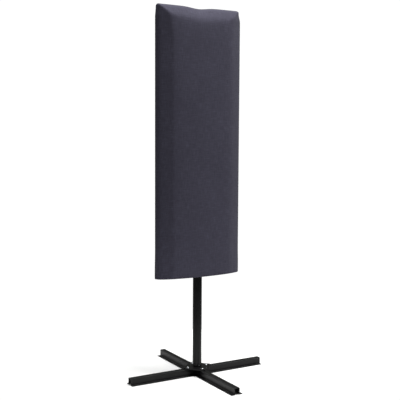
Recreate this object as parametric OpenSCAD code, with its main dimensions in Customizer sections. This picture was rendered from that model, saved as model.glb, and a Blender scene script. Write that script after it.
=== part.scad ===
// Free-standing partition wall: an upholstered, crowned panel that turns on a round steel
// pole, above a cross-shaped foot of four folded-sheet arms.
// X runs along the panel's width, -Y is the front and +Z is up. The origin is on the
// floor, on the axis of the pole. All sizes are in millimetres.

/* [Foot] */
// Reach of each arm from the pole's axis
arm_reach = 400; // [300:5:480]
// Width across an arm's top web
arm_web_w = 31; // [29:1:44]
// Height of an arm, floor to web
arm_h = 36; // [30:1:50]
// Width of the floor flange beside each wall
arm_flange_w = 17; // [10:1:26]
// Thickness of the folded sheet
arm_sheet_t = 2.5; // [1.5:0.5:3]
// Outside radius of every fold
arm_fold_r = 4; // [3.5:0.5:5]
// Side of the square plate under the pole
plate_side = 120; // [100:2:150]
// Thickness of the plate
plate_t = 6; // [4:1:10]
// Corner radius of the plate
plate_corner_r = 4; // [2:1:10]
// Distance of each foot screw from the pole's axis
screw_circle_r = 56.5; // [50:0.5:60]
// Thickness of the cross that joins the arms from inside
cross_t = 5; // [4:1:6]
// Reach of the joining cross from the pole's axis
cross_reach = 82; // [75:1:120]

/* [Foot screws] */
// Diameter of the foot screws
foot_screw_d = 8; // [6:1:8]
// Diameter of their button heads
foot_head_d = 14; // [11:0.5:16]
// Height of their button heads
foot_head_h = 4.4; // [3:0.1:5]
// Width of their hexagon sockets, across flats
foot_socket_af = 5; // [4:1:6]
// Width of the weld nuts, across flats
nut_af = 13; // [11:1:14]
// Height of the weld nuts
nut_h = 6.5; // [5:0.5:8]

/* [Pole] */
// Outside diameter of the pole
pole_d = 48.3; // [40:0.1:58]
// Wall of the pole
pole_wall = 2.6; // [2:0.1:4]
// Length of the pole
pole_len = 1200; // [900:10:1400]
// Wall of the spigot that the pole stands over
spigot_wall = 5; // [4:0.5:8]
// Height of the spigot above the plate
spigot_h = 60; // [40:5:100]
// Diameter of the screw that locks the pole to the spigot
lock_screw_d = 6; // [5:1:8]
// Height of the lock screw above the plate
lock_screw_rise = 9; // [8:1:20]
// Plug length of the pole's cap
cap_plug_h = 22; // [15:1:40]
// Thickness of the cap's head
cap_head_h = 4; // [3:1:8]
// Diameter of the swivel pad's pin
pin_d = 12; // [8:1:16]
// Length of the swivel pad's pin
pin_len = 15; // [10:1:20]
// Diameter of the swivel pad
pad_d = 46; // [36:1:46]
// Thickness of the swivel pad
pad_t = 5; // [3:1:8]

/* [Socket] */
// Wall of the socket tube inside the panel
socket_wall = 2.9; // [2:0.1:4]
// Wall of the bushes between the socket tube and the pole
bush_wall = 3; // [2:0.5:4]
// Length of each bush
bush_len = 30; // [20:1:60]
// Thickness of the lower bush's lip
bush_lip_t = 2; // [1:0.5:4]
// Width of the flange at the foot of the socket tube
flange_w = 110; // [100:2:130]
// Depth of that flange, front to back
flange_depth = 92; // [84:2:96]
// Thickness of that flange
flange_t = 4; // [3:1:6]
// Length of the plate that rests on the pole, along the panel
stop_plate_w = 210; // [180:5:260]
// Thickness of that plate
stop_plate_t = 5; // [4:1:8]

/* [Panel] */
// Width of the panel, side seam to side seam
panel_w = 505; // [420:1:620]
// Height of the panel, underside to top seam
panel_h = 1402; // [1200:1:1700]
// Depth of the panel at its middle
panel_depth = 126; // [104:1:160]
// Height of the panel's underside above the floor
panel_gap = 540; // [380:5:700]
// Radius of the top corners, seen from the front
corner_r = 14; // [8:1:30]
// How far the sides draw in at the top corners
shoulder_in = 4; // [0:1:8]
// Height over which the sides draw in
shoulder_h = 66; // [50:2:90]
// Depth of the dip in the middle of the top seam
dip_depth = 9; // [0:1:16]
// Half width of the dip
dip_w = 60; // [40:5:90]
// Thickness of the cover
cover_t = 1.2; // [0.8:0.1:2]
// Width of the hem that turns under the panel
hem_w = 18; // [14:1:24]

/* [Frame] */
// Thickness of the board that closes the underside
board_t = 18; // [15:1:24]
// Depth of the frame's battens, front to back
batten_depth = 30; // [26:1:34]
// Width of the frame's battens
batten_w = 34; // [30:1:40]
// Padding between the frame and the side seams
side_padding = 30; // [26:1:40]
// Padding between the frame and the top seam
top_padding = 60; // [50:1:80]
// Shank diameter of the wood screws
wood_screw_d = 4.5; // [4:0.5:5]
// Length of the wood screws that hold the frame
wood_screw_len = 60; // [50:5:70]
// Length of the wood screws that hold the board and the plates
short_screw_len = 16; // [12:1:30]

/* [Fits] */
// Radial clearance of the bushes and the pin, which turn
running_gap = 0.05; // [0.02:0.01:0.1]
// Radial gap of plugs and bushes that stay put
plug_gap = 0.05; // [0:0.01:0.1]
// Clearance between the swivel pad and what it bears on
bearing_gap = 0.2; // [0.1:0.1:0.4]
// Extra diameter of a drilled screw hole
hole_extra = 0.5; // [0.2:0.1:1]
// Gap around soft fillings and sawn battens
soft_gap = 0.2; // [0.1:0.1:0.5]

/* [Hidden] */
$fn = 72;

// Colours
black_coat = [0.07, 0.07, 0.075];
bright_zinc = [0.75, 0.76, 0.78];
raw_steel = [0.45, 0.46, 0.48];
nylon = [0.86, 0.86, 0.82];
pine = [0.80, 0.66, 0.45];
stained_board = [0.10, 0.09, 0.09];
felt = [0.55, 0.57, 0.58];
foam = [0.88, 0.84, 0.62];
cloth = [0.24, 0.235, 0.285];

// Foot and pole, from the floor up
plate_z = arm_h;
plate_top = plate_z + plate_t;
cross_z = arm_h - arm_sheet_t - cross_t;
cross_w = arm_web_w - 2 * arm_fold_r;
spigot_d = pole_d - 2 * pole_wall - 2 * plug_gap;
lock_screw_z = plate_top + lock_screw_rise;
lock_screw_stand = 1;
lock_socket_af = lock_screw_d / 2;
lock_socket_deep = 3;
foot_screw_len = plate_t + arm_sheet_t + cross_t + nut_h;
foot_screw_tip = 1.5;
foot_socket_deep = 2.6;
pole_top = plate_top + pole_len;
cap_top = pole_top + cap_head_h;
cap_chamfer = 1;
pad_z = cap_top + bearing_gap;
stop_z = pad_z + pad_t + bearing_gap;

// Socket
bush_bore = pole_d + 2 * running_gap;
bush_d = bush_bore + 2 * bush_wall;
socket_d = bush_d + 2 * plug_gap + 2 * socket_wall;
bush_below_pole_top = 5;
cope_r = socket_d / 2 + soft_gap;
flange_screw_in = 11;
stop_screw_in = 12;
stop_screw_pitch = 22;

// Panel
panel_top = panel_gap + panel_h;
half_w = panel_w / 2;
half_depth = panel_depth / 2;
crown_power = 0.45;
centre_strip = 30;
ring_power = 1.9;
ring_count = 11;
corner_steps = 4;
top_steps = 25;
dip_fade = 70;
shoulder_fade = 60;
board_top = panel_gap + board_t;
filling_inset = cover_t + soft_gap;

// Frame
stile_out = half_w - side_padding;
stile_in = stile_out - batten_w;
frame_top = panel_top - top_padding;
mid_rail_z = stop_z - batten_w;
flange_top = board_top + flange_t;
screw_head_room = 4;
core_z = flange_top + screw_head_room;
screw_head_h = 3;
screw_fit = 0.05;
frame_screw_pitch = 16;
board_screw_pitch = 18;

// Hem staples
staple_w = 12;
staple_wire = 0.8;
staple_leg = 7;
staple_pitch = 44;
staple_count = 9;

// Half depth of the panel at a distance s inside its seam, for a shape inset by g
function half_depth_at(s, g) =
    (half_depth - g) * pow(1 - pow(1 - s / (half_w - g), 2), crown_power);

// Distance of ring k inside the seam: rings lie close together near the seam
function ring_inset(k) = (half_w - centre_strip) * pow(k / ring_count, ring_power);

// Height of the top of ring s at a place x along the panel, with the dip fading inwards
function top_z(x, s, g) =
    panel_top - g - s - dip_depth * exp(-pow(x / dip_w, 2)) * exp(-s / dip_fade);

// Left half of ring s: up the side, round the corner and along the top to the middle
function left_outline(s, g, z0) =
    let (
        a = half_w - g - s,
        draw = shoulder_in * exp(-s / shoulder_fade),
        top = panel_top - g - s,
        b = a - draw - corner_r
    )
    concat(
        [[-a, z0], [-a, top - shoulder_h]],
        [for (k = [0 : corner_steps])
            let (t = 180 - 90 * k / corner_steps)
            [-b + corner_r * cos(t), top - corner_r + corner_r * sin(t)]],
        [for (k = [1 : (top_steps - 1) / 2])
            let (x = -b + 2 * b * k / top_steps)
            [x, top_z(x, s, g)]]
    );

// Whole ring s as 3D points on the front half of the panel
function ring(s, g, z0) =
    let (
        left = left_outline(s, g, z0),
        n = len(left),
        y = -half_depth_at(s, g)
    )
    concat(
        [for (p = left) [p[0], y, p[1]]],
        [for (k = [n - 1 : -1 : 0]) [-left[k][0], y, left[k][1]]]
    );

// Points of a half: its rings from the seam inwards, then the middle of the last ring's
// bottom edge
function half_points(g, z0) = concat(
    [for (k = [0 : ring_count]) each ring(ring_inset(k), g, z0)],
    [[0, -half_depth_at(ring_inset(ring_count), g), z0]]
);

ring_size = len(ring(0, 0, 0));
last = ring_size - 1;

// Index of point j on ring i, in a list that starts at index base
function at(i, j, base) = base + i * ring_size + j;

function turned(faces) = [for (f = faces) [for (k = [len(f) - 1 : -1 : 0]) f[k]]];

// Index of the middle of ring i's bottom edge, in a list that starts at index base
function foot_mid(i, base) = base + (ring_count + 1) * ring_size + (i == 0 ? 1 : 0);

function crowned_faces(base) = concat(
    [for (i = [0 : ring_count - 1]) for (j = [0 : last - 1]) each [
        [at(i, j, base), at(i, j + 1, base), at(i + 1, j + 1, base)],
        [at(i, j, base), at(i + 1, j + 1, base), at(i + 1, j, base)]
    ]],
    across(ring_count, base)
);

// Flat faces inside ring i, which fan out from the middle of its bottom edge
function across(i, base) = [for (j = [0 : last - 1])
    [at(i, j, base), at(i, j + 1, base), foot_mid(i, base)]];

function half_pillow_faces() = concat(
    crowned_faces(0),
    turned(across(0, 0)),
    [for (i = [1 : ring_count - 2])
        [at(i, 0, 0), at(i + 1, 0, 0), at(i + 1, last, 0), at(i, last, 0)]],
    [
        [foot_mid(0, 0), at(0, 0, 0), at(1, 0, 0), at(1, last, 0), at(0, last, 0)],
        [at(ring_count - 1, 0, 0), at(ring_count, 0, 0), foot_mid(ring_count, 0),
            at(ring_count, last, 0), at(ring_count - 1, last, 0)]
    ]
);

// Faces of a shell whose inner skin starts at point b
function half_shell_faces(b) = concat(
    crowned_faces(0),
    turned(crowned_faces(b)),
    [for (j = [0 : last - 1])
        [at(0, j, b), at(0, j + 1, b), at(0, j + 1, 0), at(0, j, 0)]],
    [for (i = [0 : ring_count - 1])
        [at(i, 0, 0), at(i + 1, 0, 0), at(i + 1, 0, b), at(i, 0, b)]],
    [for (i = [0 : ring_count - 1])
        [at(i + 1, last, 0), at(i, last, 0), at(i, last, b), at(i + 1, last, b)]],
    [
        [at(ring_count, 0, 0), foot_mid(ring_count, 0),
            foot_mid(ring_count, b), at(ring_count, 0, b)],
        [foot_mid(ring_count, 0), at(ring_count, last, 0),
            at(ring_count, last, b), foot_mid(ring_count, b)]
    ]
);

// Solid front half of the panel's shape, inset by g all round
module half_pillow(g, z0) {
    polyhedron(points = concat(half_points(g, z0), [[0, 0, z0]]), faces = half_pillow_faces());
}

// Front half of the cover: a shell that is open at the middle plane and at the underside
module half_cover() {
    polyhedron(
        points = concat(half_points(0, panel_gap), half_points(cover_t, panel_gap)),
        faces = half_shell_faces((ring_count + 1) * ring_size + 1)
    );
}

// Plan of the panel, inset by g
module plan(g) {
    front = [for (k = [0 : ring_count])
        let (s = ring_inset(k)) [-(half_w - g - s), -half_depth_at(s, g)]];
    front_right = [for (k = [ring_count : -1 : 0]) [-front[k][0], front[k][1]]];
    rear_right = [for (k = [1 : ring_count]) [-front[k][0], -front[k][1]]];
    rear_left = [for (k = [ring_count : -1 : 1]) [front[k][0], -front[k][1]]];
    polygon(concat(front, front_right, rear_right, rear_left));
}

// ---- Foot ----

module fold(centre, quadrant) {
    translate(centre)
        intersection() {
            difference() {
                circle(r = arm_fold_r);
                circle(r = arm_fold_r - arm_sheet_t);
            }
            rotate(90 * quadrant)
                square(arm_fold_r);
        }
}

// Right half of the arm's hat-shaped section
module half_hat() {
    wall = arm_web_w / 2;
    low = wall - arm_sheet_t + arm_fold_r;
    translate([0, arm_h - arm_sheet_t])
        square([wall - arm_fold_r, arm_sheet_t]);
    fold([wall - arm_fold_r, arm_h - arm_fold_r], 0);
    translate([wall - arm_sheet_t, arm_fold_r])
        square([arm_sheet_t, arm_h - 2 * arm_fold_r]);
    fold([low, arm_fold_r], 2);
    translate([low, 0])
        square([wall + arm_flange_w - low, arm_sheet_t]);
}

// One arm along +X, mitred at the middle to meet its neighbours
module foot_arm() {
    color(black_coat)
    difference() {
        intersection() {
            rotate([90, 0, 90])
                linear_extrude(arm_reach) {
                    half_hat();
                    mirror([1, 0])
                        half_hat();
                }
            linear_extrude(arm_h)
                polygon([[0, 0], [arm_reach, -arm_reach], [arm_reach, arm_reach]]);
        }
        translate([screw_circle_r, 0, 0])
            cylinder(d = foot_screw_d + hole_extra, h = arm_h + 1);
    }
}

module foot_arm_right() {
    foot_arm();
}

module foot_arm_rear() {
    rotate(90)
        foot_arm();
}

module foot_arm_left() {
    rotate(180)
        foot_arm();
}

module foot_arm_front() {
    rotate(270)
        foot_arm();
}

module at_foot_screws() {
    for (k = [0 : 3])
        rotate(90 * k)
            translate([screw_circle_r, 0, 0])
                children();
}

module joining_cross() {
    color(raw_steel)
    difference() {
        translate([0, 0, cross_z])
            linear_extrude(cross_t) {
                square([2 * cross_reach, cross_w], center = true);
                square([cross_w, 2 * cross_reach], center = true);
            }
        at_foot_screws()
            cylinder(d = foot_screw_d + hole_extra, h = arm_h);
    }
}

module weld_nuts() {
    color(raw_steel)
    at_foot_screws()
        translate([0, 0, cross_z - nut_h])
            difference() {
                cylinder(d = nut_af / cos(30), h = nut_h, $fn = 6);
                translate([0, 0, -1])
                    cylinder(d = foot_screw_d + 2 * plug_gap, h = nut_h + 2);
            }
}

module rounded_square(side, r) {
    square([side - 2 * r, side], center = true);
    square([side, side - 2 * r], center = true);
    for (x = [-1, 1])
        for (y = [-1, 1])
            translate([x * (side / 2 - r), y * (side / 2 - r)])
                circle(r = r);
}

module base_plate() {
    color(black_coat)
    difference() {
        translate([0, 0, plate_z])
            linear_extrude(plate_t)
                rotate(45)
                    rounded_square(plate_side, plate_corner_r);
        cylinder(d = spigot_d + 2 * plug_gap, h = plate_top + 1);
        at_foot_screws()
            cylinder(d = foot_screw_d + hole_extra, h = plate_top + 1);
    }
}

// Button head: a spherical cap with a hexagon socket, standing on z = 0
module button_head(d, h, af, deep) {
    dome_r = (d * d / 4 + h * h) / (2 * h);
    difference() {
        rotate_extrude()
            intersection() {
                translate([0, h - dome_r])
                    circle(r = dome_r);
                square([d / 2, h]);
            }
        translate([0, 0, h - deep])
            cylinder(d = af / cos(30), h = deep + 1, $fn = 6);
    }
}

module foot_screws() {
    color(bright_zinc)
    at_foot_screws()
        translate([0, 0, plate_top]) {
            button_head(foot_head_d, foot_head_h, foot_socket_af, foot_socket_deep);
            translate([0, 0, -foot_screw_len - foot_screw_tip])
                cylinder(d = foot_screw_d, h = foot_screw_len + foot_screw_tip);
        }
}

// ---- Pole ----

module tube(d, wall, h) {
    difference() {
        cylinder(d = d, h = h);
        translate([0, 0, -1])
            cylinder(d = d - 2 * wall, h = h + 2);
    }
}

module lock_screw_bore(d) {
    translate([0, 0, lock_screw_z])
        rotate([90, 0, 0])
            cylinder(d = d, h = pole_d);
}

module pole_spigot() {
    color(raw_steel)
    difference() {
        translate([0, 0, plate_z])
            tube(spigot_d, spigot_wall, plate_t + spigot_h);
        lock_screw_bore(lock_screw_d + 2 * plug_gap);
    }
}

module pole() {
    color(black_coat)
    difference() {
        translate([0, 0, plate_top])
            tube(pole_d, pole_wall, pole_len);
        lock_screw_bore(lock_screw_d + hole_extra);
    }
}

module pole_lock_screw() {
    stand_y = -(pole_d / 2 + lock_screw_stand);
    tip_y = -(spigot_d / 2 - spigot_wall);
    color(bright_zinc)
    translate([0, tip_y, lock_screw_z])
        rotate([90, 0, 0])
            difference() {
                cylinder(d = lock_screw_d, h = tip_y - stand_y);
                translate([0, 0, tip_y - stand_y - lock_socket_deep])
                    cylinder(d = lock_socket_af / cos(30), h = pole_d, $fn = 6);
            }
}

module pole_cap() {
    color(nylon)
    difference() {
        union() {
            translate([0, 0, pole_top - cap_plug_h])
                cylinder(d = pole_d - 2 * pole_wall - 2 * plug_gap, h = cap_plug_h);
            translate([0, 0, pole_top])
                cylinder(d = pole_d - 2 * cap_chamfer, h = cap_head_h);
        }
        translate([0, 0, cap_top - pin_len - 1])
            cylinder(d = pin_d + 2 * running_gap, h = pin_len + 2);
    }
}

module swivel_pad() {
    color(nylon)
    union() {
        translate([0, 0, pad_z])
            cylinder(d = pad_d, h = pad_t);
        translate([0, 0, cap_top - pin_len])
            cylinder(d = pin_d, h = pin_len + bearing_gap + pad_t);
    }
}

// ---- Socket inside the panel ----

module socket_tube() {
    color(raw_steel)
    translate([0, 0, panel_gap])
        tube(socket_d, socket_wall, stop_z - panel_gap);
}

module at_flange_screws() {
    for (x = [-1, 1])
        for (y = [-1, 1])
            translate([
                x * (flange_w / 2 - flange_screw_in),
                y * (flange_depth / 2 - flange_screw_in),
                flange_top
            ])
                children();
}

module socket_flange() {
    color(raw_steel)
    difference() {
        translate([-flange_w / 2, -flange_depth / 2, board_top])
            cube([flange_w, flange_depth, flange_t]);
        cylinder(d = socket_d, h = flange_top + 1);
        at_flange_screws()
            wood_screw_hole(short_screw_len);
    }
}

module at_stop_screws() {
    for (x = [-1, 1])
        for (k = [0, 1])
            translate([
                x * (stop_plate_w / 2 - stop_screw_in - k * stop_screw_pitch),
                0,
                stop_z + stop_plate_t
            ])
                children();
}

module socket_stop_plate() {
    color(raw_steel)
    difference() {
        translate([-stop_plate_w / 2, -batten_depth / 2, stop_z])
            cube([stop_plate_w, batten_depth, stop_plate_t]);
        at_stop_screws()
            wood_screw_hole(short_screw_len);
    }
}

module bush(z) {
    translate([0, 0, z])
        tube(bush_d, bush_wall, bush_len);
}

module lower_bush() {
    color(nylon)
    difference() {
        union() {
            translate([0, 0, panel_gap])
                cylinder(d = bush_d, h = bush_len);
            translate([0, 0, panel_gap - bush_lip_t])
                cylinder(d = socket_d, h = bush_lip_t);
        }
        cylinder(d = bush_bore, h = panel_top);
    }
}

module upper_bush() {
    color(nylon)
    bush(pole_top - bush_below_pole_top - bush_len);
}

// ---- Frame ----

// Countersunk wood screw that points down, with the top of its head on z = 0
module wood_screw(length, extra = 0) {
    translate([0, 0, -length - extra])
        cylinder(d = wood_screw_d + 2 * extra, h = length + extra);
    translate([0, 0, -screw_head_h])
        cylinder(d1 = wood_screw_d + 2 * extra, d2 = 2 * wood_screw_d + 2 * extra, h = screw_head_h);
}

module wood_screw_hole(length) {
    wood_screw(length, screw_fit);
    cylinder(d = 2 * wood_screw_d + 2 * screw_fit, h = 1);
}

module at_board_screws() {
    for (x = [-1, 1])
        for (k = [-1, 1])
            translate([
                x * (stile_out - batten_w / 2) + k * board_screw_pitch / 2,
                0,
                panel_gap
            ])
                mirror([0, 0, 1])
                    children();
}

// Screws through the stiles into the ends of the top rail and the middle rails
module at_frame_screws() {
    for (x = [0, 1])
        for (z = [frame_top - batten_w / 2, mid_rail_z + batten_w / 2])
            for (k = [-1, 1])
                mirror([x, 0, 0])
                    translate([stile_out, 0, z + k * frame_screw_pitch / 2])
                        rotate([0, 90, 0])
                            children();
}

module bottom_board() {
    color(stained_board)
    difference() {
        translate([0, 0, panel_gap])
            linear_extrude(board_t)
                plan(filling_inset);
        translate([0, 0, panel_gap - 1])
            cylinder(r = cope_r, h = board_t + 2);
        at_flange_screws()
            wood_screw_hole(short_screw_len);
        at_board_screws()
            wood_screw_hole(wood_screw_len);
    }
}

module stile(side) {
    color(pine)
    difference() {
        translate([side > 0 ? stile_in : -stile_out, -batten_depth / 2, board_top])
            cube([batten_w, batten_depth, frame_top - board_top]);
        at_frame_screws()
            wood_screw_hole(wood_screw_len);
        at_board_screws()
            wood_screw_hole(wood_screw_len);
    }
}

module frame_stile_left() {
    stile(-1);
}

module frame_stile_right() {
    stile(1);
}

module frame_top_rail() {
    color(pine)
    difference() {
        translate([-stile_in, -batten_depth / 2, frame_top - batten_w])
            cube([2 * stile_in, batten_depth, batten_w]);
        at_frame_screws()
            wood_screw_hole(wood_screw_len);
    }
}

// Cylinder that a filling or a rail is hollowed by, where it meets the socket tube
module cope(z0, z1) {
    translate([0, 0, z0 - 1])
        cylinder(r = cope_r, h = z1 - z0 + 2);
}

module mid_rail(side) {
    color(pine)
    difference() {
        translate([side > 0 ? 0 : -stile_in, -batten_depth / 2, mid_rail_z])
            cube([stile_in, batten_depth, batten_w]);
        cope(mid_rail_z, stop_z);
        at_frame_screws()
            wood_screw_hole(wood_screw_len);
        at_stop_screws()
            wood_screw_hole(short_screw_len);
    }
}

module frame_mid_rail_left() {
    mid_rail(-1);
}

module frame_mid_rail_right() {
    mid_rail(1);
}

module frame_screws() {
    color(bright_zinc)
    at_frame_screws()
        wood_screw(wood_screw_len);
}

module board_screws() {
    color(bright_zinc)
    at_board_screws()
        wood_screw(wood_screw_len);
}

module flange_screws() {
    color(bright_zinc)
    at_flange_screws()
        wood_screw(short_screw_len);
}

module stop_plate_screws() {
    color(bright_zinc)
    at_stop_screws()
        wood_screw(short_screw_len);
}

// ---- Fillings ----

module core_upper() {
    low = stop_z + stop_plate_t + soft_gap;
    w = 2 * (stile_in - soft_gap);
    color(felt)
    translate([-w / 2, -batten_depth / 2, low])
        cube([w, batten_depth, frame_top - batten_w - soft_gap - low]);
}

module core_lower(side) {
    w = stile_in - soft_gap;
    high = mid_rail_z - soft_gap;
    color(felt)
    difference() {
        translate([side > 0 ? 0 : -w, -batten_depth / 2, core_z])
            cube([w, batten_depth, high - core_z]);
        cope(core_z, high);
    }
}

module core_lower_left() {
    core_lower(-1);
}

module core_lower_right() {
    core_lower(1);
}

// Front foam: the crowned form, hollowed for the frame, the socket tube and the flange
module half_foam() {
    pocket_w = 2 * (stile_out + soft_gap);
    pocket_y = batten_depth / 2 + soft_gap;
    recess_w = flange_w + 2 * soft_gap;
    recess_depth = flange_depth + 2 * soft_gap;
    color(foam)
    difference() {
        half_pillow(filling_inset, board_top);
        translate([-pocket_w / 2, -pocket_y, board_top - 1])
            cube([pocket_w, 2 * pocket_y, frame_top + soft_gap - board_top + 1]);
        cope(board_top, stop_z);
        translate([-recess_w / 2, -recess_depth / 2, board_top - 1])
            cube([recess_w, recess_depth, core_z - board_top + 1]);
    }
}

module foam_front() {
    half_foam();
}

module foam_rear() {
    mirror([0, 1, 0])
        half_foam();
}

// ---- Cover ----

module cover_front() {
    color(cloth)
    half_cover();
}

module cover_rear() {
    color(cloth)
    mirror([0, 1, 0])
        half_cover();
}

module cover_hem() {
    color(cloth)
    translate([0, 0, panel_gap - cover_t])
        linear_extrude(cover_t)
            difference() {
                plan(0);
                plan(hem_w);
            }
}

module hem_staples() {
    color(bright_zinc)
    for (side = [-1, 1])
        for (k = [0 : staple_count - 1]) {
            x = (k - (staple_count - 1) / 2) * staple_pitch;
            y = side * (half_depth_at(half_w - abs(x), 0) - hem_w / 2);
            translate([x, y, panel_gap - cover_t - staple_wire]) {
                translate([-staple_w / 2, -staple_wire / 2, 0])
                    cube([staple_w, staple_wire, staple_wire]);
                for (leg = [-1, 1])
                    translate([leg * (staple_w - staple_wire) / 2 - staple_wire / 2, -staple_wire / 2, 0])
                        cube([staple_wire, staple_wire, cover_t + staple_leg]);
            }
        }
}

foot_arm_left();
foot_arm_right();
foot_arm_front();
foot_arm_rear();
joining_cross();
weld_nuts();
base_plate();
foot_screws();
pole_spigot();
pole();
pole_lock_screw();
pole_cap();
swivel_pad();
socket_tube();
socket_flange();
socket_stop_plate();
lower_bush();
upper_bush();
bottom_board();
frame_stile_left();
frame_stile_right();
frame_top_rail();
frame_mid_rail_left();
frame_mid_rail_right();
frame_screws();
board_screws();
flange_screws();
stop_plate_screws();
core_upper();
core_lower_left();
core_lower_right();
foam_front();
foam_rear();
cover_front();
cover_rear();
cover_hem();
hem_staples();
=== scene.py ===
"""Partition wall: an upholstered panel that turns on a round pole, on a cross foot of folded steel.

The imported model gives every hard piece. This script dresses those pieces, makes the cover, its hem
and the foam as pieces of their own, and sets the studio. All sizes are in metres. X runs along the
panel, the panel's front faces -Y, Z is up, and the pole stands on the origin.
"""

import logging  # noqa: E402
import math  # noqa: E402
from dataclasses import dataclass, field  # noqa: E402
from enum import Enum  # noqa: E402
from typing import Any  # noqa: E402

import bpy  # noqa: E402
import numpy as np  # noqa: E402
from mathutils import Matrix, Vector  # noqa: E402


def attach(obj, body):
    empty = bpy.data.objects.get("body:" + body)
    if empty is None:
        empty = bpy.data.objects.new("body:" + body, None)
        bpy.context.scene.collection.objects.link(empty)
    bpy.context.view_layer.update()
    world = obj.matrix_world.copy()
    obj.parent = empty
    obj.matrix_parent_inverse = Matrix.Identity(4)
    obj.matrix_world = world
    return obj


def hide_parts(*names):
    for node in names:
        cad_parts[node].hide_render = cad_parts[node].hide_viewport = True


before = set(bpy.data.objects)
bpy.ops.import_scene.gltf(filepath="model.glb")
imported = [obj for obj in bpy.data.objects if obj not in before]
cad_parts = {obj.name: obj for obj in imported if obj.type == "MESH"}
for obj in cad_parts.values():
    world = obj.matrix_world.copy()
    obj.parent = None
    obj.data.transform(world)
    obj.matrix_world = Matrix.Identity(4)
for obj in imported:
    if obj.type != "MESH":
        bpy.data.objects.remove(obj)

LOG = logging.getLogger("partition_wall")
MM = 0.001
Colour = tuple[float, float, float, float]
Tree = bpy.types.NodeTree


class Side(Enum):
    """The two faces of the panel; the value is the sign of Y there."""

    FRONT = -1
    REAR = 1


class Grain(Enum):
    """The way in which timber grain runs; the value is how far the pattern is drawn out per axis."""

    ALONG_X = (0.045, 1.0, 1.0)
    ALONG_Z = (1.0, 1.0, 0.045)


# ---- Nodes and meshes ----


def linear(code: str) -> Colour:
    """Turns an sRGB hex colour into linear light, by the sRGB curve.

    Args:
        code: six hex digits, such as "3d3b48".

    Returns:
        Red, green, blue and an alpha of 1.
    """
    parts = [int(code[i : i + 2], 16) / 255 for i in (0, 2, 4)]
    red, green, blue = (
        c / 12.92 if c <= 0.04045 else ((c + 0.055) / 1.055) ** 2.4 for c in parts
    )
    return red, green, blue, 1.0


def add_node(
    tree: Tree,
    kind: str,
    settings: dict[str, Any] | None = None,
    stops: list[tuple[float, str]] | None = None,
    **inputs: Any,
) -> Any:
    """Adds one node with its settings, its colour stops, its socket values and its links.

    Args:
        tree: node tree to add to.
        kind: Blender's name of the node's type.
        settings: the node's own properties by name.
        stops: place from 0 to 1 and sRGB hex colour of each stop, where the node is a colour ramp.
        **inputs: a value, an output socket, or a node whose first output is meant, for each input,
            by the input's name with _ for a space, or by its number after "i".

    Returns:
        The new node.
    """
    node = tree.nodes.new(kind)
    for name, value in (settings or {}).items():
        setattr(node, name, value)
    if stops:
        elements = node.color_ramp.elements
        while len(elements) < len(stops):
            elements.new(0.5)
        for element, (place, code) in zip(elements, stops):
            element.position = place
            element.color = linear(code)
    for name, value in inputs.items():
        plain = name.replace("_", " ")
        socket = node.inputs[int(name[1:])] if name[1:].isdigit() else node.inputs[plain]
        if isinstance(value, bpy.types.Node):
            value = value.outputs[0]
        if isinstance(value, bpy.types.NodeSocket):
            tree.links.new(value, socket)
        else:
            socket.default_value = value
    return node


def make_mesh(
    name: str, points: np.ndarray, quads: np.ndarray, uv: np.ndarray | None = None
) -> bpy.types.Object:
    """Makes a smooth-shaded mesh object at the origin from whole arrays.

    Args:
        name: name of the piece.
        points: corner positions, n by 3.
        quads: corner numbers of each face, m by 4, anticlockwise seen from outside.
        uv: place on the cloth of each corner in metres, n by 2.

    Returns:
        The object, linked to the scene.
    """
    mesh = bpy.data.meshes.new(name)
    mesh.from_pydata(points.reshape(-1, 3), [], quads.reshape(-1, 4))
    if uv is not None:
        corners = np.empty(len(mesh.loops), np.int32)
        mesh.loops.foreach_get("vertex_index", corners)
        mesh.uv_layers.new(name="cloth").data.foreach_set("uv", uv.reshape(-1, 2)[corners].ravel())
    mesh.polygons.foreach_set("use_smooth", np.ones(len(mesh.polygons), bool))
    mesh.update()
    piece = bpy.data.objects.new(name, mesh)
    bpy.context.scene.collection.objects.link(piece)
    return piece


def grid_quads(index: np.ndarray, closed: bool = False) -> np.ndarray:
    """Faces of a grid of corner numbers: each face joins a corner to its right and upper neighbours.

    Args:
        index: corner numbers, rows by columns.
        closed: joins the last column to the first.

    Returns:
        Quads, m by 4.
    """
    if closed:
        index = np.concatenate([index, index[:, :1]], axis=1)
    return np.stack(
        [index[:-1, :-1], index[:-1, 1:], index[1:, 1:], index[1:, :-1]], axis=-1
    ).reshape(-1, 4)


def soft_step(value: np.ndarray) -> np.ndarray:
    """Rises from 0 to 1 as value goes from 0 to 1, flat at both ends: 3 v squared less 2 v cubed."""
    held = np.clip(value, 0, 1)
    return held * held * (3 - 2 * held)


def soft_min(first: np.ndarray, second: np.ndarray, reach: float) -> np.ndarray:
    """The lesser of two values, rounded over where they are within about reach of each other.

    Formula: minus reach times the logarithm of the sum of exp(-value / reach).

    Args:
        first: first values.
        second: second values.
        reach: how widely the change from one to the other is rounded.

    Returns:
        The rounded lesser values.
    """
    low = np.minimum(first, second)
    return low - reach * np.log(np.exp((low - first) / reach) + np.exp((low - second) / reach))


# ---- Finishes ----


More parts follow.
